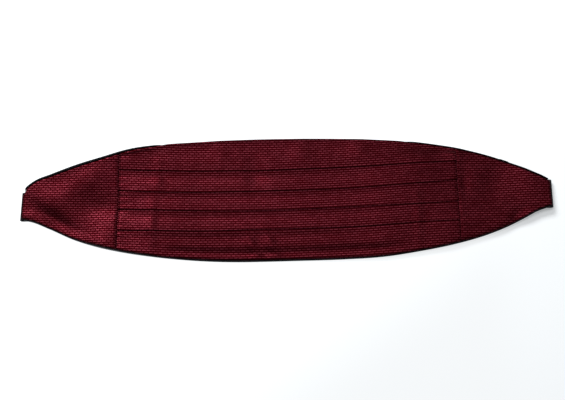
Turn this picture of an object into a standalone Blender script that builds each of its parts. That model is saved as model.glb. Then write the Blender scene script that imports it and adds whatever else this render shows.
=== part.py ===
"""A pleated cummerbund lying face up on a table, with its two straps turned under it.

X runs along the garment, Y across it and +Z up from the table, with the origin on the table under
the middle. All sizes are in millimetres until a point is placed. Each piece of cloth is a sheet: a
grid that a rule folds into place, given its thickness by Solidify.
"""

import math
from collections import namedtuple

import bmesh
import bpy
from mathutils import Vector

MM = 0.001

# Thicknesses and clearances.
WALL = 1.0  # each layer of cloth
GAP = 0.3  # between layers that touch
BED_GAP = 0.4  # between the lining and what lies on it
LAYER = WALL + GAP  # from one layer of a pleat to the next
BED = WALL + BED_GAP + WALL / 2  # from the lining's underside to the middle of the cloth on it

# The garment's length, its two seams and the lining's shorter ends.
HALF_LENGTH = 281.5  # to the outside of each strap's turn
LEFT_SEAM, RIGHT_SEAM = -178.2, 181.8
LEFT_TIP, RIGHT_TIP = -279.0, 275.5
LINING_LEFT, LINING_RIGHT = -276.5, 274.0

# The outline of the laid garment, seen from above.
Edge = namedtuple("Edge", "x top bottom")
OUTLINE = (
    Edge(-279.0, 11.5, -18.8),
    Edge(-276.5, 16.2, -19.8),
    Edge(-272.0, 20.3, -20.5),
    Edge(-250.0, 31.0, -29.0),
    Edge(-225.0, 40.3, -40.5),
    Edge(-200.0, 47.7, -48.8),
    Edge(-178.2, 54.0, -54.0),
    Edge(-140.0, 60.8, -60.7),
    Edge(-90.0, 64.7, -65.6),
    Edge(-40.0, 66.7, -67.2),
    Edge(12.0, 67.2, -66.7),
    Edge(60.0, 66.5, -65.9),
    Edge(105.0, 64.1, -63.7),
    Edge(142.0, 60.8, -58.2),
    Edge(181.8, 54.0, -50.2),
    Edge(205.0, 48.1, -43.9),
    Edge(230.0, 39.9, -34.8),
    Edge(252.0, 30.4, -24.4),
    Edge(264.0, 24.3, -18.2),
    Edge(272.0, 21.0, -15.4),
    Edge(275.5, 19.2, -14.4),
)

# Where each pleat's folded edge lies. The folds face the bottom edge.
Folds = namedtuple("Folds", "x first second third fourth")
FOLD_LINES = (
    Folds(-178.2, 34.0, 11.2, -9.0, -32.4),
    Folds(-140.0, 32.5, 9.0, -10.8, -33.2),
    Folds(-90.0, 31.4, 8.0, -12.2, -33.9),
    Folds(-30.0, 31.4, 8.7, -12.7, -33.1),
    Folds(30.0, 32.5, 9.2, -11.4, -32.4),
    Folds(90.0, 34.5, 11.2, -9.6, -30.9),
    Folds(142.0, 37.2, 14.7, -7.7, -27.6),
    Folds(181.8, 38.4, 18.0, -5.4, -26.4),
)
UNDERLAP = 7.0  # how far each pleat runs back up behind its folded edge
RISE_STEPS, PLEAT_TURN_STEPS = 5, 3

# The lowest band isn't pleated: a shallow furrow crosses it and its seam allowance lifts its edge.
Swell = namedtuple("Swell", "share height")
LOWEST_BAND = (
    Swell(0.14, 0.5),
    Swell(0.30, 0.7),
    Swell(0.48, 0.1),
    Swell(0.66, 0.7),
    Swell(0.82, 1.0),
    Swell(0.93, 0.7),
    Swell(1.0, 0.1),
)

# How far the stiffened ends spring up off the table.
Lift = namedtuple("Lift", "x height")
LIFT = (
    Lift(-279.0, 2.2),
    Lift(-250.0, 1.5),
    Lift(-185.0, 0.0),
    Lift(160.0, 0.0),
    Lift(215.0, 1.2),
    Lift(250.0, 2.9),
    Lift(275.5, 4.2),
)

# The lining's turned-up rim, which shows as a dark line round the front.
RIM_HEIGHT = 2.6
RIM_RADIUS = 1.0
EDGE_INSET = WALL + GAP + 0.05  # from the outline to the front cloth's edge
LINING_STEPS = 18

# The end panels' soft folds. Height is negative for a furrow, and angle is from the X axis.
SoftFold = namedtuple("SoftFold", "x y angle length width height")
LEFT_FOLDS = (
    SoftFold(-234.0, 17.0, 17.0, 36.0, 9.0, 1.6),
    SoftFold(-203.0, 8.0, 51.0, 26.0, 9.0, -1.4),
    SoftFold(-244.0, -15.0, -35.0, 22.0, 5.5, -1.7),
    SoftFold(-204.0, -25.0, -15.0, 26.0, 10.0, 1.2),
)
RIGHT_FOLDS = (
    SoftFold(204.0, 28.0, -42.0, 26.0, 9.0, -1.3),
    SoftFold(230.0, 19.0, -24.0, 26.0, 8.0, 1.1),
    SoftFold(215.0, -5.0, -8.0, 26.0, 9.0, 1.1),
    SoftFold(227.0, -20.0, 28.0, 34.0, 5.5, -1.5),
)
PUFF = 1.7  # how far an end panel stands off the lining, over the pleats' seam allowance too
PUFF_EDGE = 15.0  # over which it comes down to the rim and the tip
FOLD_START = 10.0  # the soft folds begin this far from the seam

# The straps: plain tape, sewn in at each end, turned under and looped round a flat metal end.
# Below, reach is a distance along the garment from its middle, to either side.
STRAP_WIDTH = 30.0
STRAP_START = 262.0  # the reach at which it is sewn in between the lining and the end panel
STRAP_SEAT = 22.0  # the stretch of end panel that rises onto it
STRAP_HEM = 20.0  # the doubled stretch at its end
STRAP_STEP, STRAP_TURN_STEPS = 12.0, 6
Strap = namedtuple("Strap", "side upper_y turn_y end_y bar_reach")
LEFT_STRAP = Strap(-1, -2.9, -4.0, -3.0, 135.0)
RIGHT_STRAP = Strap(1, 2.5, -2.0, -0.5, 117.0)

# The room that the lining leaves over the straps and over the metal at their ends.
STRAP_ROOM = WALL + BED_GAP
STRAP_HALF_ROOM = 19.5  # half the width that it clears
STRAP_SLOPE = 38.0  # over which it comes back down beside the strap
FITTING_ROOM = 5.0  # how far from the bar it keeps its full height
FITTING_SLOPE = 45.0  # over which it comes down to the strap's height
FLAT_BEFORE, RAISED_BY = 80.0, 24.0  # it leaves the table, and is clear, this far short of the bar

# The flat metal ends.
PLATE = 0.8
BAR = 3.0
SLOT = 3.2
SLOT_LENGTH = STRAP_WIDTH + 1.8
PLATE_WIDTH = 37.0
PLATE_BODY = 6.0
CORNER = 1.5
NECK_WIDTH, NECK_LENGTH = 6.0, 5.0
TONGUE_WIDTH, TONGUE_LENGTH = 15.0, 4.0
CATCH_LENGTH, CATCH_BAR = 16.5, 3.0
PLATE_Z = WALL + GAP + PLATE / 2

FRONT_STEP = 15.0  # between the sections of the cloth
END_STEP = 6.5
END_ROWS = 24


def curve_through(rows, column):
    """A smooth function of a table's first column through another, turning back only at a row."""
    xs = [row[0] for row in rows]
    ys = [getattr(row, column) for row in rows]
    steps = [(ys[i + 1] - ys[i]) / (xs[i + 1] - xs[i]) for i in range(len(xs) - 1)]
    slopes = [steps[0]]
    for i in range(1, len(xs) - 1):
        before, after = steps[i - 1], steps[i]
        left, right = xs[i] - xs[i - 1], xs[i + 1] - xs[i]
        slope = (before * right + after * left) / (left + right)
        limit = 3 * min(abs(before), abs(after))
        turns_back = before * after <= 0
        slopes.append(0.0 if turns_back else math.copysign(min(abs(slope), limit), slope))
    slopes.append(steps[-1])

    def at(x):
        x = min(max(x, xs[0]), xs[-1])
        i = max(k for k in range(len(xs) - 1) if xs[k] <= x)
        width = xs[i + 1] - xs[i]
        t = (x - xs[i]) / width
        rise = ys[i + 1] - ys[i]
        bend = (slopes[i] * (1 - t) - slopes[i + 1] * t) * width + rise * (2 * t - 1)
        return ys[i] + rise * t + t * (1 - t) * bend

    return at


def ease(value, start, end):
    """0 at start, 1 at end, and level at both."""
    t = min(max((value - start) / (end - start), 0.0), 1.0)
    return t * t * (3 - 2 * t)


top_edge = curve_through(OUTLINE, "top")
bottom_edge = curve_through(OUTLINE, "bottom")
fold_lines = [curve_through(FOLD_LINES, name) for name in Folds._fields[1:]]
lowest_band = curve_through((Swell(0.0, 0.0),) + LOWEST_BAND, "height")
end_lift = curve_through(LIFT, "height")


def strap_centre(strap, reach):
    """The y of a strap's lower run."""
    return strap.end_y + (strap.turn_y - strap.end_y) * ease(reach, strap.bar_reach, HALF_LENGTH)


def room_over(strap, x, y):
    """The height that the lining keeps over a strap and over the metal at its end."""
    reach = strap.side * x
    along = ease(reach, strap.bar_reach - FLAT_BEFORE, strap.bar_reach - RAISED_BY)
    near = 1 - ease(abs(reach - strap.bar_reach), FITTING_ROOM, FITTING_ROOM + FITTING_SLOPE)
    fitting = PLATE + WALL + 2 * GAP
    off = abs(y - strap_centre(strap, reach))
    across = 1 - ease(off, STRAP_HALF_ROOM, STRAP_HALF_ROOM + STRAP_SLOPE)
    return (STRAP_ROOM + fitting * near) * along * across


def under(x, y):
    """The height of the lining's underside: level on the table, and up over the straps."""
    heights = (end_lift(x), room_over(LEFT_STRAP, x, y), room_over(RIGHT_STRAP, x, y))
    return sum(height**4 for height in heights) ** 0.25


def tip_room(x):
    """The extra height that the strap takes up between the lining and the end panel."""
    return STRAP_ROOM * ease(abs(x), STRAP_START - BED_GAP - STRAP_SEAT, STRAP_START - BED_GAP)


def inset(edge, x, distance):
    """The y of an edge at x, moved in toward the middle by a distance square to the edge."""
    slope = edge(x + 0.5) - edge(x - 0.5)
    return edge(x) - math.copysign(distance * math.hypot(1.0, slope), edge(x))


def spaced(start, end, step):
    """Evenly spaced values from start to end, about step apart."""
    count = max(1, round((end - start) / step))
    return [start + (end - start) * i / count for i in range(count + 1)]


def half_turn(start, first, last, side, steps):
    """The points that carry a layer through half a turn, from one height to another."""
    middle, radius = (first + last) / 2, (first - last) / 2
    angles = [math.pi * step / steps for step in range(1, steps)]
    return [(start + side * abs(radius) * math.sin(a), middle + radius * math.cos(a)) for a in angles]


def pleated_section(x):
    """(y, height) down the pleated cloth: each band climbs to its folded edge, then doubles back."""
    high, middle, low = 2 * LAYER, LAYER, 0.0
    points = []
    start = inset(top_edge, x, EDGE_INSET)
    for line in fold_lines:
        fold = line(x) + LAYER / 2 + WALL / 2
        inner = line(x) + UNDERLAP
        crest = inner + LAYER
        for step in range(RISE_STEPS + 1):
            share = step / RISE_STEPS
            points.append((start + (crest - start) * share, high * ease(share, 0.0, 1.0)))
        points.append((fold, high))
        points += half_turn(fold, high, middle, -1, PLEAT_TURN_STEPS)
        points += [(fold, middle), (inner, middle)]
        points += half_turn(inner, middle, low, 1, PLEAT_TURN_STEPS)
        points.append((inner, low))
        start = line(x) - WALL / 2
    end = inset(bottom_edge, x, EDGE_INSET)
    points.append((start, low))
    points += [(start + (end - start) * s.share, lowest_band(s.share)) for s in LOWEST_BAND]
    return points


def soft_fold_height(fold, x, y):
    """What one soft fold adds at a point: a rounded ridge or furrow that dies away all round."""
    angle = math.radians(fold.angle)
    along = (x - fold.x) * math.cos(angle) + (y - fold.y) * math.sin(angle)
    across = (y - fold.y) * math.cos(angle) - (x - fold.x) * math.sin(angle)
    return fold.height * math.exp(-((along / fold.length) ** 2) - (across / fold.width) ** 2)


def end_panel_height(x, y, seam, tip, folds):
    """How far an end panel stands off its bed: nothing at its rim and tip, and soft folds between."""
    inside = min(top_edge(x) - y, y - bottom_edge(x), abs(x - tip))
    folded = sum(soft_fold_height(fold, x, y) for fold in folds)
    folded *= ease(abs(x - seam), 0.0, FOLD_START)
    return max(0.0, PUFF + folded) * ease(inside, 0.0, PUFF_EDGE)


def lining_section(x):
    """(y, height) of the lining at x: rim, flat and rim."""
    corner = [(RIM_RADIUS * math.cos(a), -RIM_RADIUS * math.sin(a)) for a in (0, math.pi / 4, math.pi / 2)]
    rim = [(WALL / 2, RIM_HEIGHT + tip_room(x))]
    for inward, up in corner:
        rim.append((WALL / 2 + RIM_RADIUS - inward, WALL / 2 + RIM_RADIUS + up))
    upper_rim = [(inset(top_edge, x, inward), height) for inward, height in rim]
    lower_rim = [(inset(bottom_edge, x, inward), height) for inward, height in reversed(rim)]
    start, end = upper_rim[-1][0], lower_rim[0][0]
    flat = [start + (end - start) * step / LINING_STEPS for step in range(1, LINING_STEPS)]
    return upper_rim + [(y, WALL / 2) for y in flat] + lower_rim


def strap_rows(strap):
    """A strap's points, from where it is sewn in, round the garment's end, to its hem."""

    def height_on_lining(reach):
        return under(strap.side * reach, strap.upper_y) + BED

    floor = WALL / 2
    top = height_on_lining(RIGHT_TIP if strap.side > 0 else -LEFT_TIP)
    turn_reach = HALF_LENGTH - WALL / 2 - (top - floor) / 2
    upper = [(reach, height_on_lining(reach)) for reach in spaced(STRAP_START, turn_reach, STRAP_STEP / 2)]
    round_tip = half_turn(turn_reach, top, floor, 1, STRAP_TURN_STEPS)

    bar_inside = strap.bar_reach - BAR / 2
    bar_outside = strap.bar_reach + BAR / 2
    over_bar = floor + WALL + PLATE + 2 * GAP
    lower = [(reach, floor) for reach in reversed(spaced(bar_inside, turn_reach, STRAP_STEP))]
    round_bar = half_turn(bar_inside, floor, over_bar, -1, STRAP_TURN_STEPS)
    hem = [
        (bar_inside, over_bar),
        (bar_outside + GAP, over_bar),
        (bar_outside + 3 * LAYER, floor + LAYER + GAP),
        (bar_outside + 6 * LAYER, floor + LAYER),
        (bar_inside + STRAP_HEM, floor + LAYER),
    ]

    path = [(reach, height, strap.upper_y) for reach, height in upper]
    for step, (reach, height) in enumerate(round_tip, 1):
        share = ease(step, 0, STRAP_TURN_STEPS)
        path.append((reach, height, strap.upper_y + (strap.turn_y - strap.upper_y) * share))
    path += [(reach, height, strap_centre(strap, reach)) for reach, height in lower + round_bar + hem]
    half = STRAP_WIDTH / 2
    return [[(strap.side * reach, y + off, z) for off in (half, 0.0, -half)] for reach, z, y in path]


def make_material(name, colour, roughness, metallic=0.0):
    material = bpy.data.materials.new(name)
    material.use_nodes = True
    shader = material.node_tree.nodes["Principled BSDF"]
    shader.inputs["Base Color"].default_value = (*colour, 1.0)
    shader.inputs["Roughness"].default_value = roughness
    shader.inputs["Metallic"].default_value = metallic
    material.diffuse_color = (*colour, 1.0)
    return material


def make_sheet(name, rows, material, collection):
    """One piece of cloth: a grid whose rows of points are given in millimetres, made WALL thick."""
    along, across = len(rows) - 1, len(rows[0]) - 1
    shape = bmesh.new()
    bmesh.ops.create_grid(shape, x_segments=along, y_segments=across, size=1.0)
    for vertex in shape.verts:
        row = round((vertex.co.x + 1) / 2 * along)
        column = round((vertex.co.y + 1) / 2 * across)
        vertex.co = Vector(rows[row][column]) * MM
    mesh = bpy.data.meshes.new(name)
    shape.to_mesh(mesh)
    shape.free()
    mesh.materials.append(material)
    mesh.shade_smooth()
    piece = bpy.data.objects.new(name, mesh)
    collection.objects.link(piece)
    thickness = piece.modifiers.new("thickness", "SOLIDIFY")
    thickness.thickness = WALL * MM
    thickness.offset = 0.0
    thickness.use_even_offset = True
    return piece


def make_front(material, collection):
    """The pleated middle of the front."""
    rows = []
    for x in spaced(LEFT_SEAM + GAP / 2, RIGHT_SEAM - GAP / 2, FRONT_STEP):
        rows.append([(x, y, under(x, y) + BED + height) for y, height in pleated_section(x)])
    make_sheet("front_pleated", rows, material, collection)


def make_end_panel(name, seam, tip, folds, material, collection):
    """A plain tapered end of the front, from its seam to the garment's tip."""
    rows = []
    seam_side = seam + math.copysign(GAP / 2, seam)
    for x in spaced(min(seam_side, tip), max(seam_side, tip), END_STEP):
        top, bottom = inset(top_edge, x, EDGE_INSET), inset(bottom_edge, x, EDGE_INSET)
        row = []
        for step in range(END_ROWS + 1):
            y = top + (bottom - top) * step / END_ROWS
            stand = tip_room(x) + end_panel_height(x, y, seam, tip, folds)
            row.append((x, y, under(x, y) + BED + stand))
        rows.append(row)
    make_sheet(name, rows, material, collection)


def make_lining(material, collection):
    """The plain back of the garment, with its rim turned up round the front."""
    stations = spaced(LINING_LEFT, LEFT_SEAM, END_STEP)
    stations += spaced(LEFT_SEAM, RIGHT_SEAM, FRONT_STEP)[1:]
    stations += spaced(RIGHT_SEAM, LINING_RIGHT, END_STEP)[1:]
    rows = [[(x, y, under(x, y) + height) for y, height in lining_section(x)] for x in stations]
    make_sheet("lining", rows, material, collection)


def rounded_rectangle(left, right, width, radius):
    """A plate's outline between two x values, from its right side round to it again."""
    points = []
    for centre_x, centre_y, start in (
        (right - radius, width / 2 - radius, 0),
        (left + radius, width / 2 - radius, 90),
        (left + radius, radius - width / 2, 180),
        (right - radius, radius - width / 2, 270),
    ):
        for step in range(4):
            angle = math.radians(start + 30 * step)
            points.append((centre_x + radius * math.cos(angle), centre_y + radius * math.sin(angle)))
    return points


def make_plate(name, outlines, strap, material, collection):
    """A flat metal piece: its outline and slots, with x running inward from its bar's outer side."""
    shape = bpy.data.curves.new(name, "CURVE")
    shape.dimensions = "2D"
    shape.fill_mode = "BOTH"
    shape.extrude = PLATE / 2 * MM
    for outline in outlines:
        spline = shape.splines.new("POLY")
        spline.points.add(len(outline) - 1)
        for point, (x, y) in zip(spline.points, outline):
            point.co = (-strap.side * x * MM, y * MM, 0.0, 1.0)
        spline.use_cyclic_u = True
    shape.materials.append(material)
    piece = bpy.data.objects.new(name, shape)
    piece.location = Vector((strap.side * (strap.bar_reach + BAR / 2), strap.end_y, PLATE_Z)) * MM
    collection.objects.link(piece)


def make_hook(material, collection):
    """The flat hook at the left strap's end: a barred plate, a neck and a cross tongue."""
    body_end = BAR + SLOT + PLATE_BODY
    neck_end = body_end + NECK_LENGTH
    tongue_end = neck_end + TONGUE_LENGTH
    body = rounded_rectangle(0.0, body_end, PLATE_WIDTH, CORNER)
    neck_and_tongue = [
        (body_end, -NECK_WIDTH / 2),
        (neck_end, -NECK_WIDTH / 2),
        (neck_end, -TONGUE_WIDTH / 2),
        (tongue_end - CORNER, -TONGUE_WIDTH / 2),
        (tongue_end, CORNER - TONGUE_WIDTH / 2),
        (tongue_end, TONGUE_WIDTH / 2 - CORNER),
        (tongue_end - CORNER, TONGUE_WIDTH / 2),
        (neck_end, TONGUE_WIDTH / 2),
        (neck_end, NECK_WIDTH / 2),
        (body_end, NECK_WIDTH / 2),
    ]
    slot = rounded_rectangle(BAR, BAR + SLOT, SLOT_LENGTH, CORNER / 2)
    make_plate("strap_hook", (body + neck_and_tongue, slot), LEFT_STRAP, material, collection)


def make_catch(material, collection):
    """The flat catch at the right strap's end, with one slot for the strap and one for the hook."""
    slot_end = BAR + SLOT
    catch_start = slot_end + CATCH_BAR
    catch_end = catch_start + SLOT
    body = rounded_rectangle(0.0, catch_end + CATCH_BAR, PLATE_WIDTH, CORNER)
    strap_slot = rounded_rectangle(BAR, slot_end, SLOT_LENGTH, CORNER / 2)
    hook_slot = rounded_rectangle(catch_start, catch_end, CATCH_LENGTH, CORNER / 2)
    make_plate("strap_catch", (body, strap_slot, hook_slot), RIGHT_STRAP, material, collection)


def main():
    for existing in list(bpy.data.objects):
        bpy.data.objects.remove(existing)
    collection = bpy.data.collections.new("cummerbund")
    bpy.context.scene.collection.children.link(collection)

    burgundy = make_material("burgundy_jacquard", (0.075, 0.006, 0.011), 0.5)
    black_satin = make_material("black_satin", (0.006, 0.005, 0.008), 0.42)
    black_tape = make_material("black_tape", (0.009, 0.008, 0.010), 0.6)
    steel = make_material("nickel_plate", (0.55, 0.54, 0.52), 0.3, 1.0)

    make_front(burgundy, collection)
    make_end_panel("end_panel_left", LEFT_SEAM, LEFT_TIP, LEFT_FOLDS, burgundy, collection)
    make_end_panel("end_panel_right", RIGHT_SEAM, RIGHT_TIP, RIGHT_FOLDS, burgundy, collection)
    make_lining(black_satin, collection)
    make_sheet("strap_left", strap_rows(LEFT_STRAP), black_tape, collection)
    make_sheet("strap_right", strap_rows(RIGHT_STRAP), black_tape, collection)
    make_hook(steel, collection)
    make_catch(steel, collection)


main()
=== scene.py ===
"""The looks of a pleated cummerbund laid face up: its cloth, tape and metal, light and camera.

The frame is in metres. The tables and forms below are in millimetres, as the garment was measured,
and points are turned into metres where a mesh is made. What is in metres says so.
"""

import math
from collections import namedtuple

import bmesh
import bpy
from mathutils import Matrix, Vector


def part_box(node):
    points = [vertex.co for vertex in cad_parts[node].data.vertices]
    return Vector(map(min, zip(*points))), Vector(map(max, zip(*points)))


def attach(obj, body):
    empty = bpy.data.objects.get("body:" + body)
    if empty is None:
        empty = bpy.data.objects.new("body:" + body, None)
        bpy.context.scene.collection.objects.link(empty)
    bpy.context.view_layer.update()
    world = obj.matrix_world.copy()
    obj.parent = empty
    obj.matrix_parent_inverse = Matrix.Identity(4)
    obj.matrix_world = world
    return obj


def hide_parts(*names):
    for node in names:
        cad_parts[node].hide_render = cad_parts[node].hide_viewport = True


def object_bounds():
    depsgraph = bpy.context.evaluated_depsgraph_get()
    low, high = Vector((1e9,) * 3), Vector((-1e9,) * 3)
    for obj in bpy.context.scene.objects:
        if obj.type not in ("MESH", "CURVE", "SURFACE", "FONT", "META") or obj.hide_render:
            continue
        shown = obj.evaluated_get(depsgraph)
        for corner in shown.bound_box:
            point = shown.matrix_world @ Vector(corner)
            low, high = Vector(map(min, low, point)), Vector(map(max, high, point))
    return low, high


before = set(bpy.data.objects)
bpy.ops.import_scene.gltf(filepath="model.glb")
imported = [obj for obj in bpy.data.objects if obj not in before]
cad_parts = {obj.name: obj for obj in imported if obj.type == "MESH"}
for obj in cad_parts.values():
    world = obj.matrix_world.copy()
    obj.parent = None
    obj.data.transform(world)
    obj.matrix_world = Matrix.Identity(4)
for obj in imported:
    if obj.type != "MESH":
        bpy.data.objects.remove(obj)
cad_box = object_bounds()

MM = 0.001

# ---------------------------------------------------------------- the form, as in the frame

Edge = namedtuple("Edge", "x top bottom")
OUTLINE = (
    Edge(-279.0, 11.5, -18.8),
    Edge(-276.5, 16.2, -19.8),
    Edge(-272.0, 20.3, -20.5),
    Edge(-250.0, 31.0, -29.0),
    Edge(-225.0, 40.3, -40.5),
    Edge(-200.0, 47.7, -48.8),
    Edge(-178.2, 54.0, -54.0),
    Edge(-140.0, 60.8, -60.7),
    Edge(-90.0, 64.7, -65.6),
    Edge(-40.0, 66.7, -67.2),
    Edge(12.0, 67.2, -66.7),
    Edge(60.0, 66.5, -65.9),
    Edge(105.0, 64.1, -63.7),
    Edge(142.0, 60.8, -58.2),
    Edge(181.8, 54.0, -50.2),
    Edge(205.0, 48.1, -43.9),
    Edge(230.0, 39.9, -34.8),
    Edge(252.0, 30.4, -24.4),
    Edge(264.0, 24.3, -18.2),
    Edge(272.0, 20.3, -15.4),
    Edge(275.5, 18.1, -14.4),
    Edge(279.5, 15.9, -13.3),
)
Folds = namedtuple("Folds", "x first second third fourth")
FOLD_LINES = (
    Folds(-178.2, 34.0, 11.2, -9.0, -32.4),
    Folds(-140.0, 32.5, 9.0, -10.8, -33.2),
    Folds(-90.0, 31.4, 8.0, -12.2, -33.9),
    Folds(-30.0, 31.4, 8.7, -12.7, -33.1),
    Folds(30.0, 32.5, 9.2, -11.4, -32.4),
    Folds(90.0, 34.5, 11.2, -9.6, -30.9),
    Folds(142.0, 37.2, 14.7, -7.7, -27.6),
    Folds(181.8, 38.4, 18.0, -5.4, -26.4),
)
Lift = namedtuple("Lift", "x height")
LIFT = (
    Lift(-279.0, 2.2),
    Lift(-250.0, 1.5),
    Lift(-185.0, 0.0),
    Lift(160.0, 0.0),
    Lift(215.0, 1.2),
    Lift(250.0, 2.9),
    Lift(275.5, 4.2),
)
LEFT_SEAM, RIGHT_SEAM = -178.2, 181.8
HALF_LENGTH = cad_box[1].x / MM
UNDERLAP = 7.0  # how far a pleat reaches up behind its fold

# A strap's middle is at upper_y where it is sewn in, at turn_y under its turn and at end_y on its
# metal end's bar. Its upper edge reaches less far than its lower edge, by slant at the turn.
Strap = namedtuple("Strap", "side upper_y turn_y end_y bar_reach slant")
LEFT_STRAP = Strap(-1, -4.2, -4.6, -3.0, 135.0, 1.0)
RIGHT_STRAP = Strap(1, 0.8, 1.4, -0.5, 117.0, 0.0)
STRAP_WIDTH, STRAP_THICK = 30.0, 1.0
STRAP_START, STRAP_HEM = 262.0, 20.0  # where it is sewn in, and its length doubled back at the bar
STRAP_SEAT = 22.0  # the stretch of end panel that rises onto the strap
PLATE, BAR, GAP = 0.8, 3.0, 0.3  # the metal's thickness, its bar's width, and the room round it

# The lining rises over a strap, and further over its metal end. Each half room is the half width of
# the flat top of that rise, and each slope is the stretch over which it falls from there.
STRAP_ROOM, STRAP_HALF_ROOM, STRAP_SLOPE = 1.4, 19.5, 38.0
FITTING_RISE, FITTING_HALF_ROOM, FITTING_SLOPE = 2.4, 5.0, 45.0
FLAT_BEFORE, RAISED_BY = 80.0, 24.0  # the rise starts and is full this far short of the bar
# Stiff cloth bridges it: this share of the rise is left at the long edges, and felt by the front.
EDGE_SHARE, FRONT_SHARE = 0.6, 0.6
JOIN_POWER = 4  # the lifts of the tips and the straps join smoothly, as the root of a sum of powers
STRAP_SUNK = 0.1  # a strap's middle is this far below FRONT_LOW where it lies on the lining
HEM_FALL = 8.0  # a strap's hem comes down onto the tape within this, past the bar

# ---------------------------------------------------------------- what the thin cloth adds

CLOTH = 0.4  # the front, with the interlining fused to it
LINING = 0.5
FRONT_LOW = 2.6  # from the lining's underside to the middle of the front
PLEAT_PITCH = 0.66  # from one layer of a pleat to the next
EDGE_STAND = 0.2  # how far the front stands above FRONT_LOW just inside its edge
PANEL_STAND, PANEL_EDGE = 0.5, 15.0  # an end panel's further stand in its middle, full this far in
ALLOWANCE = 11.0  # the width of the seam allowance inside an end panel's lower edge
SOFT_TIP = 5.0  # the soft folds die away this near a tip
TIP_ROLL, TIP_SPREAD = 0.6, 2.0  # how far an end panel rolls down at its tip, and over what length
SEAM_GAP = 0.05  # from each piece's end to the seam

# The layers behind a fold lift the cloth on both sides of it, less at the seams, which press them
# flat, and less in the lowest pleat toward the right.
FOLD_BED, BED_FALL, BED_RISE = 1.0, 5.0, 6.0
SEAM_BED, SEAM_REACH = 0.4, 45.0
PRESSED_FROM, PRESSED_TO, PRESSED_BED = 20.0, 110.0, 0.25

# The stitched seams pull the cloth down beside them, the left one more, and pucker it: in a short
# wave, and in a long one that is lower. The waves are in radians to the millimetre.
LEFT_SEAM_DIP, RIGHT_SEAM_DIP, SEAM_SPREAD = 0.8, 0.25, 3.0
PUCKER_HEIGHT, PUCKER_SPREAD = 0.16, 9.0
SHORT_WAVE, LONG_WAVE, LONG_SHARE = 0.83, 0.37, 0.6
WAVE_START, WAVE_DRIFT = 1.0, 0.02

# The soft front and lining reach further over the right strap's turn than the stiff solids.
RIGHT_TIP_COVER, RIGHT_RIM_COVER = 3.6, 3.0

# How wide the lining's rolled edge shows round the front. Between ROLL_FROM and ROLL_TO the front
# itself rolls over the top edge, and the lining is hidden.
Lip = namedtuple("Lip", "x top bottom")
LIPS = (
    Lip(-279.0, 1.8, 1.0),
    Lip(-230.0, 2.8, 0.9),
    Lip(-178.0, 2.3, 0.9),
    Lip(-135.0, 1.4, 1.0),
    Lip(-80.0, 1.0, 1.6),
    Lip(0.0, 1.0, 1.4),
    Lip(100.0, 1.0, 1.2),
    Lip(181.0, 1.1, 0.9),
    Lip(240.0, 1.2, 0.9),
    Lip(275.5, 1.5, 1.0),
)
ROLL_FROM, ROLL_TO, ROLL_EASE = -124.0, 120.0, 18.0

# A rim in section, from outside in. A point is lips of the lip's width and then inward from the
# outline, and it is rise above the lower or the upper of the rim's two levels.
RimPoint = namedtuple("RimPoint", "lips inward level rise")
LOWER, UPPER = 0, 1
FRONT_TUCKED_IN = (
    RimPoint(1, 0.45, LOWER, -0.5),
    RimPoint(1, 0.6, UPPER, -0.3),
    RimPoint(1, 1.1, UPPER, -0.05),
    RimPoint(1, 2.2, UPPER, 0.0),
)
FRONT_ROLLED_OVER = (
    RimPoint(0, 0.45, LOWER, -1.1),
    RimPoint(0, 0.42, LOWER, -0.55),
    RimPoint(0, 0.8, LOWER, 0.0),
    RimPoint(0, 1.7, LOWER, 0.25),
)
LINING_SHOWN = (
    RimPoint(1, -0.05, UPPER, -0.35),
    RimPoint(0.5, 0.35, UPPER, 0.0),
    RimPoint(0, 0.5, UPPER, -0.1),
    RimPoint(0, 0.27, UPPER, -0.55),
    RimPoint(0, 0.27, LOWER, 1.1),
    RimPoint(0, 0.5, LOWER, 0.55),
    RimPoint(0, 1.3, LOWER, LINING / 2),
)
LINING_HIDDEN = (
    RimPoint(0, 1.6, LOWER, 1.2),
    RimPoint(0, 1.5, LOWER, 1.15),
    RimPoint(0, 1.4, LOWER, 1.1),
    RimPoint(0, 1.3, LOWER, 1.0),
    RimPoint(0, 1.3, LOWER, 0.8),
    RimPoint(0, 1.5, LOWER, 0.45),
    RimPoint(0, 2.2, LOWER, LINING / 2),
)
LINING_TOP = 0.3  # how far the lining's shown edge comes up above FRONT_LOW
FLAT_BELOW, RIM_ABOVE = 1.0, 2.0  # the heights in the lining's section where its flat turns to rim
RIM_JOIN = 0.6  # from the front's rim to the next point of the band inside it

# The lowest band has no pleat: a furrow runs along it, and its seam allowance lifts its edge. Left
# of FURROW_FROM and right of FURROW_TO it rises evenly instead.
FURROW_FROM, FURROW_TO, FURROW_EASE = -108.0, 96.0, 34.0
Swell = namedtuple("Swell", "share height")
LOWEST_BAND = (
    Swell(0.0, 0.0),
    Swell(0.16, 0.2),
    Swell(0.58, 1.3),
    Swell(0.86, 0.3),
    Swell(0.96, 1.0),
    Swell(1.0, 1.2),
)
LOWER_EDGE_STAND = LOWEST_BAND[-1].height

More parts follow.
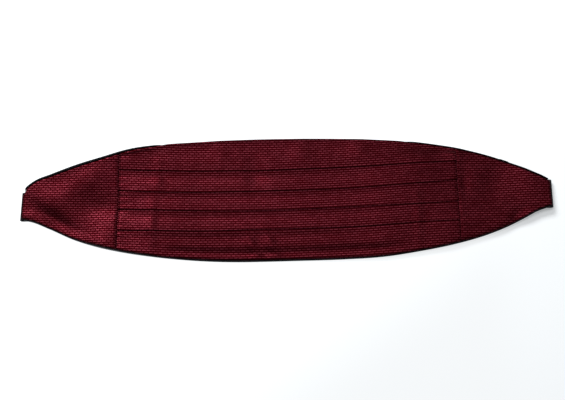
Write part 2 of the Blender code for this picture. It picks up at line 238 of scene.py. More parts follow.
# Soft folds and creases. Height is negative for a furrow, and angle is in degrees from the X axis.
SOFT_REACH = 3.0  # a fold adds nothing beyond this many of its lengths
SoftFold = namedtuple("SoftFold", "x y angle length width height")
SOFT_FOLDS = (
    # The left end: ridges of slack cloth round a hollow, above a furrow.
    SoftFold(-244.0, -2.0, -32.0, 24.0, 14.0, 1.9),
    SoftFold(-234.0, 10.0, 28.0, 26.0, 13.0, 1.2),
    SoftFold(-211.0, 26.0, 50.0, 26.0, 16.0, 2.5),
    SoftFold(-245.0, -19.0, -33.0, 28.0, 7.0, -1.9),
    SoftFold(-189.0, -37.0, 62.0, 27.0, 19.0, 3.7),
    SoftFold(-178.0, -64.0, -12.0, 56.0, 24.0, 4.0),
    SoftFold(-150.0, -44.0, 90.0, 24.0, 24.0, 1.4),
    SoftFold(-196.0, -7.0, 0.0, 18.0, 9.0, -1.0),
    SoftFold(-186.0, 24.0, 90.0, 22.0, 28.0, 2.2),
    SoftFold(-226.0, 42.0, 20.0, 42.0, 7.0, 1.6),
    # The top left corner and the top edge.
    SoftFold(-184.0, 66.0, 14.0, 60.0, 22.0, 3.4),
    SoftFold(-163.0, 58.0, 88.0, 18.0, 26.0, 3.6),
    SoftFold(-126.0, 48.0, 90.0, 16.0, 9.0, 0.6),
    SoftFold(-165.0, 8.0, 0.0, 15.0, 6.0, 0.9),
    SoftFold(-86.0, 74.0, 0.0, 90.0, 24.0, 2.6),
    # Pressed creases across the front.
    SoftFold(-142.5, -24.0, 90.0, 30.0, 5.0, 1.1),
    SoftFold(-136.0, 26.0, 90.0, 24.0, 5.0, 0.9),
    SoftFold(138.5, -30.0, 90.0, 32.0, 4.5, 0.8),
    # The top band's slack.
    SoftFold(-70.0, 52.0, 100.0, 16.0, 9.0, 0.9),
    SoftFold(-34.0, 32.0, 100.0, 20.0, 10.0, -1.4),
    SoftFold(16.0, 50.0, 90.0, 16.0, 12.0, 0.9),
    SoftFold(78.0, 56.0, 80.0, 14.0, 12.0, 1.0),
    SoftFold(110.0, 36.0, 3.0, 36.0, 8.0, -1.1),
    SoftFold(181.0, 46.0, 90.0, 10.0, 11.0, 1.6),
    # The lowest band's slack, and the front's by the right seam.
    SoftFold(-80.0, -36.0, 0.0, 34.0, 8.0, 0.5),
    SoftFold(-36.0, -52.0, -65.0, 18.0, 5.0, 1.4),
    SoftFold(-17.0, -49.0, -65.0, 16.0, 5.0, 1.3),
    SoftFold(60.0, -54.0, 2.0, 26.0, 6.0, -0.4),
    SoftFold(153.0, 24.0, 90.0, 24.0, 26.0, 1.0),
    SoftFold(168.0, -40.0, 90.0, 30.0, 24.0, 2.4),
    # The right end: a hollow by the seam, and a furrow along its lower edge.
    SoftFold(224.0, 20.0, 60.0, 30.0, 16.0, -2.4),
    SoftFold(189.0, 16.0, 90.0, 14.0, 6.0, -1.4),
    SoftFold(208.0, -24.0, 8.0, 36.0, 15.0, 2.4),
    SoftFold(241.0, -25.0, 45.0, 14.0, 6.0, -1.5),
    SoftFold(260.0, -15.0, 15.0, 12.0, 5.0, -1.0),
)

# ---------------------------------------------------------------- how finely each piece is made

FRONT_STEP, PANEL_STEP, LINING_STEP = 2.2, 2.0, 2.6  # from one section to the next
NEAR_ENDS, FIRST_STEP = (0.5, 1.1, 1.9, 2.9), 1.2  # the closer sections by an end, and a step
# The steps of the front's section: up to a crest, along it, round a turn, and along the middle and
# the low layer behind a fold.
CLIMB_STEPS, CREST_STEPS, TURN_STEPS, MIDDLE_STEPS, LOW_STEPS = 14, 6, 8, 4, 5
LOWEST_BAND_STEPS, PANEL_STEPS, LINING_STEPS = 22, 44, 36
SEWN_STEP, RUN_STEP, HEM_STEP = 1.6, 2.0, 0.8  # along a strap: on the lining, below it, in the hem
TIP_STEPS, BAR_STEPS = 14, 12  # round a strap's turn, and round its bar
TAPE_SHARES = (-1.0, -0.985, -0.9, -0.5, 0.0, 0.5, 0.9, 0.985, 1.0)  # of half its width

# ---------------------------------------------------------------- forms


def curve_through(rows, column):
    """A smooth function of a table's first column through another, turning back only at a row."""
    xs = [row[0] for row in rows]
    ys = [getattr(row, column) for row in rows]
    steps = [(ys[i + 1] - ys[i]) / (xs[i + 1] - xs[i]) for i in range(len(xs) - 1)]
    slopes = [steps[0]]
    for i in range(1, len(xs) - 1):
        before, after = steps[i - 1], steps[i]
        left, right = xs[i] - xs[i - 1], xs[i + 1] - xs[i]
        slope = (before * right + after * left) / (left + right)
        limit = 3 * min(abs(before), abs(after))  # a steeper slope would overshoot a row
        turns_back = before * after <= 0
        slopes.append(0.0 if turns_back else math.copysign(min(abs(slope), limit), slope))
    slopes.append(steps[-1])

    def at(x):
        x = min(max(x, xs[0]), xs[-1])
        i = max(k for k in range(len(xs) - 1) if xs[k] <= x)
        width = xs[i + 1] - xs[i]
        t = (x - xs[i]) / width
        rise = ys[i + 1] - ys[i]
        bend = (slopes[i] * (1 - t) - slopes[i + 1] * t) * width + rise * (2 * t - 1)
        return ys[i] + rise * t + t * (1 - t) * bend

    return at


def ease(value, start, end):
    """0 at start, 1 at end, and level at both."""
    t = min(max((value - start) / (end - start), 0.0), 1.0)
    return t * t * (3 - 2 * t)


def parted(start, end, count):
    """The values that part the way from start to end into equal steps, with both ends."""
    return [start + (end - start) * i / count for i in range(count + 1)]


def spaced(start, end, step):
    """Evenly spaced values from start to end, about step apart."""
    return parted(start, end, max(1, round((end - start) / step)))


def stations(start, end, step):
    """Values from start to end, about step apart, and closer near both ends."""
    middle = spaced(start + NEAR_ENDS[-1] + FIRST_STEP, end - NEAR_ENDS[-1] - FIRST_STEP, step)
    after_start = [start + near for near in NEAR_ENDS]
    before_end = [end - near for near in reversed(NEAR_ENDS)]
    return [start, *after_start, *middle, *before_end, end]


top_edge = curve_through(OUTLINE, "top")
bottom_edge = curve_through(OUTLINE, "bottom")
top_lip = curve_through(LIPS, "top")
bottom_lip = curve_through(LIPS, "bottom")
fold_lines = [curve_through(FOLD_LINES, name) for name in Folds._fields[1:]]
furrowed_band = curve_through(LOWEST_BAND, "height")
end_lift = curve_through(LIFT, "height")


def strap_centre(strap, reach):
    """The y of a strap's middle under the garment."""
    return strap.end_y + (strap.turn_y - strap.end_y) * ease(reach, strap.bar_reach, HALF_LENGTH)


def room_over(strap, x, y):
    """The height that the lining keeps over a strap and over the metal at its end."""
    reach = strap.side * x
    along = ease(reach, strap.bar_reach - FLAT_BEFORE, strap.bar_reach - RAISED_BY)
    from_bar = abs(reach - strap.bar_reach)
    near = 1 - ease(from_bar, FITTING_HALF_ROOM, FITTING_HALF_ROOM + FITTING_SLOPE)
    off = abs(y - strap_centre(strap, reach))
    across = 1 - (1 - EDGE_SHARE) * ease(off, STRAP_HALF_ROOM, STRAP_HALF_ROOM + STRAP_SLOPE)
    return (STRAP_ROOM + FITTING_RISE * near) * along * across


def under(x, y, felt=1.0):
    """The height of the lining's underside: level on the table, and up over the straps.

    felt is how much of the rise over the straps is kept.
    """
    over_left = felt * room_over(LEFT_STRAP, x, y)
    over_right = felt * room_over(RIGHT_STRAP, x, y)
    lifts = (end_lift(x), over_left, over_right)
    return sum(lift**JOIN_POWER for lift in lifts) ** (1 / JOIN_POWER)


def tip_room(x):
    """The extra height that the strap takes up between the lining and the end panel."""
    full = STRAP_START - GAP
    return STRAP_ROOM * ease(abs(x), full - STRAP_SEAT, full)


def inset(edge, x, distance):
    """The y of an edge at x, moved in toward the middle by a distance square to the edge."""
    slope = edge(x + 0.5) - edge(x - 0.5)
    return edge(x) - math.copysign(distance * math.hypot(1.0, slope), edge(x))


def half_turn(start, first, last, side, steps):
    """The points between that carry a layer through half a turn, from one height to another."""
    middle, radius = (first + last) / 2, (first - last) / 2
    points = []
    for step in range(1, steps):
        angle = math.pi * step / steps
        out = side * abs(radius) * math.sin(angle)
        points.append((start + out, middle + radius * math.cos(angle)))
    return points


def soft_folds(x, y):
    """What the soft folds add at a point: rounded ridges and furrows that die away all round."""
    total = 0.0
    for fold in SOFT_FOLDS:
        if math.hypot(x - fold.x, y - fold.y) > SOFT_REACH * fold.length:
            continue
        angle = math.radians(fold.angle)
        along = (x - fold.x) * math.cos(angle) + (y - fold.y) * math.sin(angle)
        across = (y - fold.y) * math.cos(angle) - (x - fold.x) * math.sin(angle)
        total += fold.height * math.exp(-((along / fold.length) ** 2) - (across / fold.width) ** 2)
    return total


def seam_dip(x):
    """How far the seams pull the cloth down."""
    left = LEFT_SEAM_DIP * (1 - ease(abs(x - LEFT_SEAM), 0.0, SEAM_SPREAD))
    return left + RIGHT_SEAM_DIP * (1 - ease(abs(x - RIGHT_SEAM), 0.0, SEAM_SPREAD))


def puckers(x, y):
    """The small puckers beside the seams. Two waves make them uneven."""
    near = min(abs(x - LEFT_SEAM), abs(x - RIGHT_SEAM))
    fade = math.exp(-((near / PUCKER_SPREAD) ** 2))
    short = math.sin(y * SHORT_WAVE + WAVE_START)
    long = math.sin(y * LONG_WAVE + x * WAVE_DRIFT)
    return PUCKER_HEIGHT * fade * (short + LONG_SHARE * long)


def rolled(x):
    """1 where the front rolls over the top edge, 0 where the lining's edge shows."""
    return ease(x, ROLL_FROM - ROLL_EASE, ROLL_FROM) * (1 - ease(x, ROLL_TO, ROLL_TO + ROLL_EASE))


def rim_path(x, edge, lip, levels, first, second, share):
    """(y, height) down a rim at x, which goes from the first table to the second by share."""
    path = []
    for p, q in zip(first, second):
        inward, other_inward = p.lips * lip + p.inward, q.lips * lip + q.inward
        height, other_height = levels[p.level] + p.rise, levels[q.level] + q.rise
        mixed_inward = inward + (other_inward - inward) * share
        path.append((inset(edge, x, mixed_inward), height + (other_height - height) * share))
    return path


def front_rim(x, edge, lip, share, stand=EDGE_STAND):
    """The front's own edge, from outside in: tucked in behind the lip, or by share rolled over.

    stand is how far the cloth inside this edge is above FRONT_LOW.
    """
    levels = (FRONT_LOW, FRONT_LOW + stand)
    return rim_path(x, edge, lip, levels, FRONT_TUCKED_IN, FRONT_ROLLED_OVER, share)


def lining_rim(x, edge, lip, share):
    """The lining's edge, from its rolled end down to the flat: shown, or by share hidden."""
    levels = (0.0, FRONT_LOW + LINING_TOP)
    return rim_path(x, edge, lip, levels, LINING_SHOWN, LINING_HIDDEN, share)


# ---------------------------------------------------------------- materials

# Soft noise takes each colour from its darker tone to its lighter one.
Tones = namedtuple("Tones", "darker lighter")
BURGUNDY_GROUND = Tones((0.022, 0.0, 0.0006, 1), (0.030, 0.0001, 0.0010, 1))
BURGUNDY_DASHES = Tones((0.124, 0.0170, 0.0270, 1), (0.150, 0.0210, 0.0330, 1))
BLACK_SATIN = Tones((0.0035, 0.0030, 0.0042, 1), (0.0085, 0.0072, 0.0095, 1))
BLACK_TAPE = Tones((0.003, 0.0027, 0.0035, 1), (0.010, 0.0095, 0.0115, 1))
NICKEL = Tones((0.50, 0.48, 0.45, 1), (0.62, 0.61, 0.58, 1))

DASH_COLUMN, DASH_ROW = 4.9, 2.53  # the spacing of the woven dashes
DASH_LENGTH, DASH_WIDTH, DASH_BLUR = 3.9, 1.0, 0.25
FAINTEST_DASH, CLEAREST_DASH = 0.62, 1.08
TWILL_ALONG, TWILL_ACROSS, SATIN_YARN = 11.0, 15.0, 16.0  # radians to the millimetre
TWILL_HEIGHT = 0.12  # of a dash's height
YARN_HEIGHT, SLACK_HEIGHT = 0.05, 4.0
RIB_PITCH, WARP_PITCH = 0.9, 0.45
RIB_HIGHLIGHT, TONE_LIGHT = 0.6, 0.4  # how much lighter the ribs are, a painted highlight, and the tone by noise
WARP_HEIGHT = 0.4  # of a rib's height
BRUSHED = (1.0, 18.0, 18.0)  # squeezes noise into brush marks that run along the first axis


class Shader:
    """A Principled material and short calls that add nodes to it. Each call returns its output."""

    # The sockets of a Mix node for colours, by number because other kinds share their names.
    MIX_SHARE, MIX_FIRST, MIX_SECOND, MIX_RESULT = 0, 6, 7, 2

    def __init__(self, name, **constants):
        self.material = bpy.data.materials.new(name)
        self.material.use_nodes = True
        self.tree = self.material.node_tree
        self.principled = self.tree.nodes["Principled BSDF"]
        for socket, value in constants.items():
            self.principled.inputs[socket.replace("_", " ")].default_value = value

    def add(self, kind, inputs, output=0, **settings):
        node = self.tree.nodes.new(kind)
        for setting, value in settings.items():
            setattr(node, setting, value)
        for socket, value in inputs.items():
            if isinstance(value, bpy.types.NodeSocket):
                self.tree.links.new(value, node.inputs[socket])
            else:
                node.inputs[socket].default_value = value
        return node.outputs[output]

    def math(self, operation, first, second=0.0, third=0.0):
        inputs = {0: first, 1: second, 2: third}
        return self.add("ShaderNodeMath", inputs, operation=operation)

    def smooth_step(self, value, start, end, at_start=0.0, at_end=1.0):
        inputs = {0: value, 1: start, 2: end, 3: at_start, 4: at_end}
        return self.add("ShaderNodeMapRange", inputs, interpolation_type="SMOOTHSTEP")

    def mix(self, share, first, second):
        inputs = {self.MIX_SHARE: share, self.MIX_FIRST: first, self.MIX_SECOND: second}
        return self.add("ShaderNodeMix", inputs, output=self.MIX_RESULT, data_type="RGBA")

    def noise(self, vector, scale, detail=2.0):
        inputs = {"Vector": vector, "Scale": scale, "Detail": detail}
        return self.add("ShaderNodeTexNoise", inputs)

    def position(self):
        """The place on the object, in metres."""
        return self.add("ShaderNodeTexCoord", {}, output="Object")

    def separate(self, vector):
        node = self.tree.nodes.new("ShaderNodeSeparateXYZ")
        self.tree.links.new(vector, node.inputs[0])
        return node.outputs

    def grain(self):
        """The cloth's own coordinates in millimetres: along the garment, and across it."""
        coordinates = self.separate(self.add("ShaderNodeUVMap", {}, uv_map="grain"))
        return [self.math("MULTIPLY", coordinates[i], 1 / MM) for i in (0, 1)]

    def set(self, socket, value):
        self.tree.links.new(value, self.principled.inputs[socket])

    def bump(self, height, distance, strength):
        inputs = {"Strength": strength, "Distance": distance, "Height": height}
        self.set("Normal", self.add("ShaderNodeBump", inputs))


def dash_profile(cloth, place, pitch, size):
    """1 over the middle of each repeat, and 0 beyond half the size of a dash to either side."""
    off_middle = cloth.math("ABSOLUTE", cloth.math("SUBTRACT", cloth.math("FRACT", place), 0.5))
    distance = cloth.math("MULTIPLY", off_middle, pitch)
    return cloth.smooth_step(distance, size / 2 - DASH_BLUR, size / 2 + DASH_BLUR, 1.0, 0.0)


def jacquard():
    """Burgundy satin with small lighter dashes in staggered rows, as shiny as dyed metal."""
    cloth = Shader("burgundy_jacquard", Metallic=0.9, Specular_IOR_Level=0.015)
    along, across = cloth.grain()
    row = cloth.math("DIVIDE", across, DASH_ROW)
    row_number = cloth.math("FLOOR", row)
    shift = cloth.math("MULTIPLY", cloth.math("FLOORED_MODULO", row_number, 2.0), 0.5)
    column = cloth.math("ADD", cloth.math("DIVIDE", along, DASH_COLUMN), shift)
    lengthwise = dash_profile(cloth, column, DASH_COLUMN, DASH_LENGTH)
    crosswise = dash_profile(cloth, row, DASH_ROW, DASH_WIDTH)
    dash = cloth.math("MULTIPLY", lengthwise, crosswise)

    cell = cloth.add("ShaderNodeCombineXYZ", {"X": cloth.math("FLOOR", column), "Y": row_number})
    chance = cloth.add("ShaderNodeTexWhiteNoise", {"Vector": cell}, noise_dimensions="2D")
    uneven = cloth.smooth_step(chance, 0.0, 1.0, FAINTEST_DASH, CLEAREST_DASH)
    tone = cloth.noise(cloth.position(), scale=14.0, detail=3.0)
    ground = cloth.mix(tone, *BURGUNDY_GROUND)
    thread = cloth.mix(tone, *BURGUNDY_DASHES)
    cloth.set("Base Color", cloth.mix(cloth.math("MULTIPLY", dash, uneven), ground, thread))
    cloth.set("Roughness", cloth.smooth_step(dash, 0.0, 1.0, at_start=0.5, at_end=0.44))

    slant_along = cloth.math("MULTIPLY", along, TWILL_ALONG)
    slant = cloth.math("ADD", slant_along, cloth.math("MULTIPLY", across, TWILL_ACROSS))
    twill = cloth.math("MULTIPLY", cloth.math("SINE", slant), TWILL_HEIGHT)
    cloth.bump(cloth.math("ADD", dash, twill), distance=0.10 * MM, strength=0.25)
    return cloth.material


def satin():
    """Plain black lining satin, with a fine slack in it."""
    cloth = Shader("black_satin", Specular_IOR_Level=0.06)
    across = cloth.grain()[1]
    tone = cloth.noise(cloth.position(), scale=30.0, detail=3.0)
    cloth.set("Base Color", cloth.mix(tone, *BLACK_SATIN))
    cloth.set("Roughness", cloth.smooth_step(tone, 0.3, 0.7, at_start=0.36, at_end=0.46))
    yarn = cloth.math("SINE", cloth.math("MULTIPLY", across, SATIN_YARN))
    slack = cloth.noise(cloth.position(), scale=55.0)
    faint_yarn = cloth.math("MULTIPLY", yarn, YARN_HEIGHT)
    height = cloth.math("ADD", faint_yarn, cloth.math("MULTIPLY", slack, SLACK_HEIGHT))
    cloth.bump(height, distance=0.12 * MM, strength=0.5)
    return cloth.material


def ribbed_tape():
    """Black tape with fine ribs across it and a plain woven edge."""
    tape = Shader("black_tape", Specular_IOR_Level=0.1, Sheen_Weight=0.01, Sheen_Roughness=0.5)
    along, across = tape.grain()
    ribs = tape.math("SINE", tape.math("MULTIPLY", along, 2 * math.pi / RIB_PITCH))
    warp = tape.math("SINE", tape.math("MULTIPLY", across, 2 * math.pi / WARP_PITCH))
    tone = tape.noise(tape.position(), scale=60.0)
    # The ribs' crests are painted lighter than their troughs: a painted highlight, with noise in
    # the tone on top.
    rib_highlight = tape.smooth_step(ribs, -1.0, 1.0, at_start=0.0, at_end=RIB_HIGHLIGHT)
    light = tape.math("ADD", rib_highlight, tape.math("MULTIPLY", tone, TONE_LIGHT))
    tape.set("Base Color", tape.mix(light, *BLACK_TAPE))
    tape.set("Roughness", tape.smooth_step(ribs, -1.0, 1.0, at_start=0.58, at_end=0.42))
    height = tape.math("ADD", ribs, tape.math("MULTIPLY", warp, WARP_HEIGHT))
    tape.bump(height, distance=0.08 * MM, strength=0.6)
    return tape.material


def nickel():
    """Nickel-plated steel, lightly brushed."""
    metal = Shader("nickel_plate", Metallic=1.0)
    position = metal.position()
    brushed = metal.add("ShaderNodeMapping", {"Vector": position, "Scale": BRUSHED})
    grain = metal.noise(brushed, scale=900.0)
    cloud = metal.noise(position, scale=90.0, detail=3.0)
    metal.set("Base Color", metal.mix(cloud, *NICKEL))
    metal.set("Roughness", metal.smooth_step(grain, 0.2, 0.8, at_start=0.22, at_end=0.38))
    metal.bump(grain, distance=0.02 * MM, strength=0.5)
    return metal.material


# ---------------------------------------------------------------- pieces

Fabric = namedtuple("Fabric", "material slot thickness")
BODY = "root"


def grid_mesh(name, rows, grain, material):
    """A mesh whose rows of points, in millimetres, carry the cloth's own coordinates."""
    along, across = len(rows) - 1, len(rows[0]) - 1
    shape = bmesh.new()
    bmesh.ops.create_grid(shape, x_segments=along, y_segments=across, size=1.0)
    layer = shape.loops.layers.uv.new("grain")
    for vertex in shape.verts:
        row = round((vertex.co.x + 1) / 2 * along)
        column = round((vertex.co.y + 1) / 2 * across)
        vertex.co = Vector(rows[row][column]) * MM
        for loop in vertex.link_loops:
            loop[layer].uv = Vector(grain[row][column]) * MM
    mesh = bpy.data.meshes.new(name)
    shape.to_mesh(mesh)
    shape.free()
    mesh.materials.append(material)
    mesh.shade_smooth()
    return mesh


def add_cloth(name, node, rows, grain, fabric):
    """One thin piece of cloth in place of its node."""
    piece = bpy.data.objects.new(name, grid_mesh(name, rows, grain, fabric.material))
    bpy.context.scene.collection.objects.link(piece)
    shell = piece.modifiers.new("thickness", "SOLIDIFY")
    shell.thickness = fabric.thickness * MM
    shell.offset = 0.0
    shell.use_even_offset = True
    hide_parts(node)
    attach(piece, BODY)
    return piece


def round_edges(piece, name, width, segments, angle):
    """Round the edges of a piece that are sharper than angle, in degrees."""
    rounding = piece.modifiers.new(name, "BEVEL")
    rounding.width = width * MM
    rounding.segments = segments
    rounding.limit_method = "ANGLE"
    rounding.angle_limit = math.radians(angle)


def path_lengths(points, start=0):
    """How far each point lies along the path, measured from the point numbered start."""
    lengths = [0.0]
    for before, after in zip(points, points[1:]):
        lengths.append(lengths[-1] + math.dist(before, after))
    return [length - lengths[start] for length in lengths]


def lowest_band(x, share):
    """The lowest band's climb to its edge, with its furrow from FURROW_FROM to FURROW_TO."""
    after_start = ease(x, FURROW_FROM - FURROW_EASE, FURROW_FROM)
    furrowed = after_start * (1 - ease(x, FURROW_TO, FURROW_TO + FURROW_EASE))
    even = LOWER_EDGE_STAND * share
    return even + (furrowed_band(share) - even) * furrowed


def pleated_path(x):
    """(y, height) down the pleated cloth at x, and the number of the point at the first fold."""
    low, middle, high = FRONT_LOW, FRONT_LOW + PLEAT_PITCH, FRONT_LOW + 2 * PLEAT_PITCH
    points = front_rim(x, top_edge, top_lip(x), rolled(x))
    start, first_fold = points[-1][0] - RIM_JOIN, None
    for line in fold_lines:
        fold = line(x) + PLEAT_PITCH / 2 + CLOTH / 2
        inner = line(x) + UNDERLAP
        crest = inner + PLEAT_PITCH
        for step, y in enumerate(parted(start, crest, CLIMB_STEPS)):
            points.append((y, low + (high - low) * ease(step, 0, CLIMB_STEPS)))
        points += [(y, high) for y in parted(crest, fold, CREST_STEPS)[1:]]
        first_fold = first_fold or len(points) - 1
        points += half_turn(fold, high, middle, -1, TURN_STEPS)
        points += [(y, middle) for y in parted(fold, inner, MIDDLE_STEPS)]
        points += half_turn(inner, middle, low, 1, TURN_STEPS)
        start = line(x) - CLOTH / 2
        points += [(y, low) for y in parted(inner, start, LOW_STEPS)[:-1]]
    rim = front_rim(x, bottom_edge, bottom_lip(x), 0.0, LOWER_EDGE_STAND)
    end = rim[-1][0] + RIM_JOIN
    for step, y in enumerate(parted(start, end, LOWEST_BAND_STEPS)):
        points.append((y, low + lowest_band(x, step / LOWEST_BAND_STEPS)))
    return points + rim[::-1], first_fold


def fold_bed(x, y):
    """How much the layers behind the folds lift a band.

    It rises slowly toward the fold at its own lower edge, and falls fast below the fold above it.
    """
    lines = [top_edge(x), *(line(x) for line in fold_lines)]
    pressed = 1 - (1 - PRESSED_BED) * ease(x, PRESSED_FROM, PRESSED_TO)
    full = [0.0, 1.0, 1.0, 1.0, pressed]  # for the top edge, and for each fold
    band = sum(y < line for line in lines[1:])
    below = lines[band] - y
    lift = full[band] * math.exp(-((below / BED_FALL) ** 2))
    if band < len(fold_lines):
        lift += full[band + 1] * ease(below, BED_RISE, lines[band] - lines[band + 1])
    from_seam = min(abs(x - LEFT_SEAM), abs(x - RIGHT_SEAM))
    return FOLD_BED * lift * (SEAM_BED + (1 - SEAM_BED) * ease(from_seam, 0.0, SEAM_REACH))


def make_front(fabric):
    """The pleated middle of the front."""
    rows, grain = [], []
    for x in stations(LEFT_SEAM + SEAM_GAP, RIGHT_SEAM - SEAM_GAP, FRONT_STEP):
        path, first_fold = pleated_path(x)
        row = []
        for y, height in path:
            bed = under(x, y, FRONT_SHARE) + fold_bed(x, y)
            row.append((x, y, bed + height + soft_folds(x, y) + puckers(x, y) - seam_dip(x)))
        rows.append(row)
        grain.append([(x, length) for length in path_lengths(path, first_fold)])
    add_cloth("front_pleated_cloth", "front_pleated", rows, grain, fabric)


def panel_stand(x, y, tip):
    """How far an end panel stands off its bed between its edges."""
    inside = min(top_edge(x) - y, y - bottom_edge(x), abs(x - tip))
    soft = soft_folds(x, y) * ease(abs(x - tip), 0.0, SOFT_TIP)
    return PANEL_STAND * ease(inside, 0.0, PANEL_EDGE) + soft


def panel_point(y, end):
    """(y, height) on an end panel, which its seam allowance lifts near its lower edge."""
    lifted = 1 - ease(y - end, 0.0, ALLOWANCE)
    return y, FRONT_LOW + EDGE_STAND + (LOWER_EDGE_STAND - EDGE_STAND) * lifted


def make_end_panel(side, seam, tip, fabric):
    """A plain tapered end of the front, from its seam to the garment's tip."""
    rows, grain = [], []
    seam_side = seam + math.copysign(SEAM_GAP, seam)
    for x in stations(min(seam_side, tip), max(seam_side, tip), PANEL_STEP):
        upper = front_rim(x, top_edge, top_lip(x), 0.0)
        lower = front_rim(x, bottom_edge, bottom_lip(x), 0.0, LOWER_EDGE_STAND)[::-1]
        start, end = upper[-1][0], lower[0][0]
        between = [panel_point(y, end) for y in parted(start, end, PANEL_STEPS)[1:-1]]
        path = upper + between + lower
        drop = seam_dip(x) + TIP_ROLL * (1 - ease(abs(x - tip), 0.0, TIP_SPREAD))
        row = []
        for y, height in path:
            stand = height + tip_room(x) + panel_stand(x, y, tip) + puckers(x, y) - drop
            row.append((x, y, under(x, y, FRONT_SHARE) + stand))
        rows.append(row)
        grain.append([(x, -y) for y, height in path])
    node = f"end_panel_{side}"
    add_cloth(f"{node}_cloth", node, rows, grain, fabric)


def make_lining(left_tip, right_tip, fabric):
    """The plain back, with its edge rolled up round the front."""
    low, high = (corner.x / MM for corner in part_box("lining"))
    rows, grain = [], []
    for x in stations(low, high + RIGHT_RIM_COVER, LINING_STEP):
        upper = lining_rim(x, top_edge, top_lip(x), rolled(x))
        lower = lining_rim(x, bottom_edge, bottom_lip(x), 0.0)[::-1]
        start, end = upper[-1][0], lower[0][0]
        between = [(y, LINING / 2) for y in parted(start, end, LINING_STEPS)[1:-1]]
        path = upper + between + lower
        soft_share = ease(min(x - left_tip, right_tip - x), 0.0, SOFT_TIP)
        row = []
        for y, height in path:
            on_rim = ease(height, FLAT_BELOW, RIM_ABOVE)
            bed = under(x, y, 1 - (1 - FRONT_SHARE) * on_rim)
            soft = soft_folds(x, y) * soft_share
            row.append((x, y, bed + height + (tip_room(x) + soft) * on_rim))
        rows.append(row)
        grain.append([(x, length) for length in path_lengths(path)])
    add_cloth("lining_cloth", "lining", rows, grain, fabric)


def strap_path(strap):
    """(reach, y, height) along a strap, from where it is sewn in, round the tip, to its hem."""

    def height_on_lining(reach):
        return under(strap.side * reach, strap.upper_y) + FRONT_LOW - STRAP_SUNK

    floor = STRAP_THICK / 2
    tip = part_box("end_panel_right")[1].x if strap.side > 0 else -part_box("end_panel_left")[0].x
    top = height_on_lining(tip / MM)
    turn_reach = HALF_LENGTH - STRAP_THICK / 2 - (top - floor) / 2
    path = []
    for reach in spaced(STRAP_START, turn_reach, SEWN_STEP):
        path.append((reach, strap.upper_y, height_on_lining(reach)))
    for step, (reach, height) in enumerate(half_turn(turn_reach, top, floor, 1, TIP_STEPS), 1):
        turned = (strap.turn_y - strap.upper_y) * ease(step, 0, TIP_STEPS)
        path.append((reach, strap.upper_y + turned, height))

    bar_inside, bar_outside = strap.bar_reach - BAR / 2, strap.bar_reach + BAR / 2
    over_bar = floor + STRAP_THICK + PLATE + 2 * GAP
    doubled = floor + STRAP_THICK + GAP
    run = [(reach, floor) for reach in reversed(spaced(bar_inside, turn_reach, RUN_STEP))]
    run += half_turn(bar_inside, floor, over_bar, -1, BAR_STEPS)
    for reach in spaced(bar_inside, bar_inside + STRAP_HEM, HEM_STEP):
        share = ease(reach, bar_outside + GAP, bar_outside + HEM_FALL)
        run.append((reach, over_bar + (doubled - over_bar) * share))
    return path + [(reach, strap_centre(strap, reach), height) for reach, height in run]


def make_strap(node, strap, fabric):
    """A strap: tape with soft edges, turned under the tip and looped round its metal end."""
    path = strap_path(strap)
    rows, grain = [], []
    for (reach, y, height), length in zip(path, path_lengths(path)):
        slant = strap.slant * ease(reach, STRAP_START, HALF_LENGTH)
        row = []
        for share in TAPE_SHARES:
            x = strap.side * (reach - slant * (1 - share) / 2)
            row.append((x, y - share * STRAP_WIDTH / 2, height))
        rows.append(row)
        grain.append([(length, share * STRAP_WIDTH / 2) for share in TAPE_SHARES])
    piece = add_cloth(f"{node}_tape", node, rows, grain, fabric)
    round_edges(piece, "soft edge", width=0.25, segments=2, angle=60)


def dress_metal(node, material):
    """A stamped plate keeps its own shape, with its edges rounded by tumbling."""
    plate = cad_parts[node]
    plate.data.materials.clear()
    plate.data.materials.append(material)
    round_edges(plate, "tumbled edges", width=0.18, segments=3, angle=40)


# ---------------------------------------------------------------- floor, light and camera

# In metres. The floor glows, so that it hardly shows a shadow. It glows less toward its near right
# corner, and least past the right tip, where its lighter colour lets the tip's shadow show.
FLOOR_HALF_SIZE = 4.0
FLOOR_GLOW = (0.97, 0.99, 1.0, 1)
FLOOR_COLOUR, FLOOR_COLOUR_BY_TIP = (0.33, 0.345, 0.355, 1), (0.90, 0.93, 0.95, 1)
TOWARD_CORNER_X, TOWARD_CORNER_Y = 0.6, -0.8
CORNER_FROM, CORNER_TO, CORNER_GLOW = -0.02, 0.22, 0.69
BY_TIP_FROM, BY_TIP_TO, BY_TIP_GLOW = 0.19, 0.27, 0.43


def make_floor():
    """A plain pale table that glows unevenly: painted light that hides most of the garment's shadow
    on it.
    """
    mesh = bpy.data.meshes.new("floor")
    shape = bmesh.new()
    bmesh.ops.create_grid(shape, x_segments=1, y_segments=1, size=FLOOR_HALF_SIZE)
    shape.to_mesh(mesh)
    shape.free()
    paper = Shader("white_table", Roughness=0.9, Emission_Color=FLOOR_GLOW)
    x, y = paper.separate(paper.position())[:2]
    nearer = paper.math("MULTIPLY", y, TOWARD_CORNER_Y)
    toward_corner = paper.math("MULTIPLY_ADD", x, TOWARD_CORNER_X, nearer)
    glow = paper.smooth_step(toward_corner, CORNER_FROM, CORNER_TO, 1.0, CORNER_GLOW)
    less_by_tip = paper.smooth_step(x, BY_TIP_FROM, BY_TIP_TO, 1.0, BY_TIP_GLOW)
    paper.set("Emission Strength", paper.math("MULTIPLY", glow, less_by_tip))
    by_tip = paper.smooth_step(x, BY_TIP_FROM, BY_TIP_TO)
    paper.set("Base Color", paper.mix(by_tip, FLOOR_COLOUR, FLOOR_COLOUR_BY_TIP))
    mesh.materials.append(paper.material)
    floor = bpy.data.objects.new("floor", mesh)
    bpy.context.scene.collection.objects.link(floor)


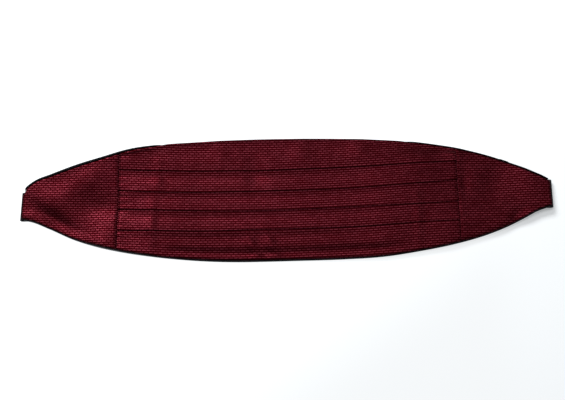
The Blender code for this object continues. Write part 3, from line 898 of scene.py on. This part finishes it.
# Places and sizes in metres, power in watts. Both shine on the origin.
Softbox = namedtuple("Softbox", "name place width height power")
SOFTBOXES = (
    Softbox("key", (-0.75, 1.35, 1.4), 1.0, 0.7, 32.5),
    Softbox("top", (-0.05, 0.3, 1.5), 2.2, 0.5, 7.4),
)
SKY_COLOUR, SKY_STRENGTH = (0.95, 0.98, 1.0, 1), 0.14


def add_light():
    """The two softboxes and a faint even sky."""
    for box in SOFTBOXES:
        light = bpy.data.lights.new(box.name, "AREA")
        light.shape = "RECTANGLE"
        light.size, light.size_y = box.width, box.height
        light.energy = box.power
        softbox = bpy.data.objects.new(box.name, light)
        softbox.location = box.place
        softbox.rotation_euler = (-Vector(box.place)).to_track_quat("-Z", "Y").to_euler()
        bpy.context.scene.collection.objects.link(softbox)
    world = bpy.data.worlds.new("studio")
    world.use_nodes = True
    sky = world.node_tree.nodes["Background"].inputs
    sky["Color"].default_value = SKY_COLOUR
    sky["Strength"].default_value = SKY_STRENGTH
    bpy.context.scene.world = world
    bpy.context.scene.view_settings.view_transform = "Standard"


CAMERA_ELEVATION, CAMERA_ROLL = math.radians(75), math.radians(0.9)
CAMERA_DISTANCE, CAMERA_AIM = 1.096, Vector((0, 0, 0.003))  # in metres
CAMERA_LENS, SENSOR = 65.9, 36.0
PICTURE_WIDTH = 565
PICTURE_SHIFT = (-4.1, -1.0)  # in pixels of a picture of that width


def add_camera():
    """The photograph's camera, rolled a little about its own axis."""
    camera = bpy.data.cameras.new("camera")
    camera.sensor_width = SENSOR
    camera.lens = CAMERA_LENS
    camera.clip_start = 0.01
    camera.shift_x, camera.shift_y = (pixels / PICTURE_WIDTH for pixels in PICTURE_SHIFT)
    forward = Vector((0, math.cos(CAMERA_ELEVATION), -math.sin(CAMERA_ELEVATION)))
    level = Vector((1, 0, 0))
    upright = level.cross(forward)
    right = level * math.cos(CAMERA_ROLL) - upright * math.sin(CAMERA_ROLL)
    up = level * math.sin(CAMERA_ROLL) + upright * math.cos(CAMERA_ROLL)
    viewer = bpy.data.objects.new("camera", camera)
    bpy.context.scene.collection.objects.link(viewer)
    turned = Matrix((right, up, -forward)).transposed().to_4x4()
    viewer.matrix_world = Matrix.Translation(CAMERA_AIM - forward * CAMERA_DISTANCE) @ turned
    bpy.context.scene.camera = viewer


burgundy = Fabric(jacquard(), "burgundy_jacquard", CLOTH)
tape = Fabric(ribbed_tape(), "black_tape", STRAP_THICK)
black = Fabric(satin(), "black_satin", LINING)
left_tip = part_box("end_panel_left")[0].x / MM
right_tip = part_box("end_panel_right")[1].x / MM + RIGHT_TIP_COVER
make_front(burgundy)
make_end_panel("left", LEFT_SEAM, left_tip, burgundy)
make_end_panel("right", RIGHT_SEAM, right_tip, burgundy)
make_lining(left_tip, right_tip, black)
make_strap("strap_left", LEFT_STRAP, tape)
make_strap("strap_right", RIGHT_STRAP, tape)
metal = nickel()
for node in ("strap_hook", "strap_catch"):
    dress_metal(node, metal)
make_floor()
add_light()
add_camera()
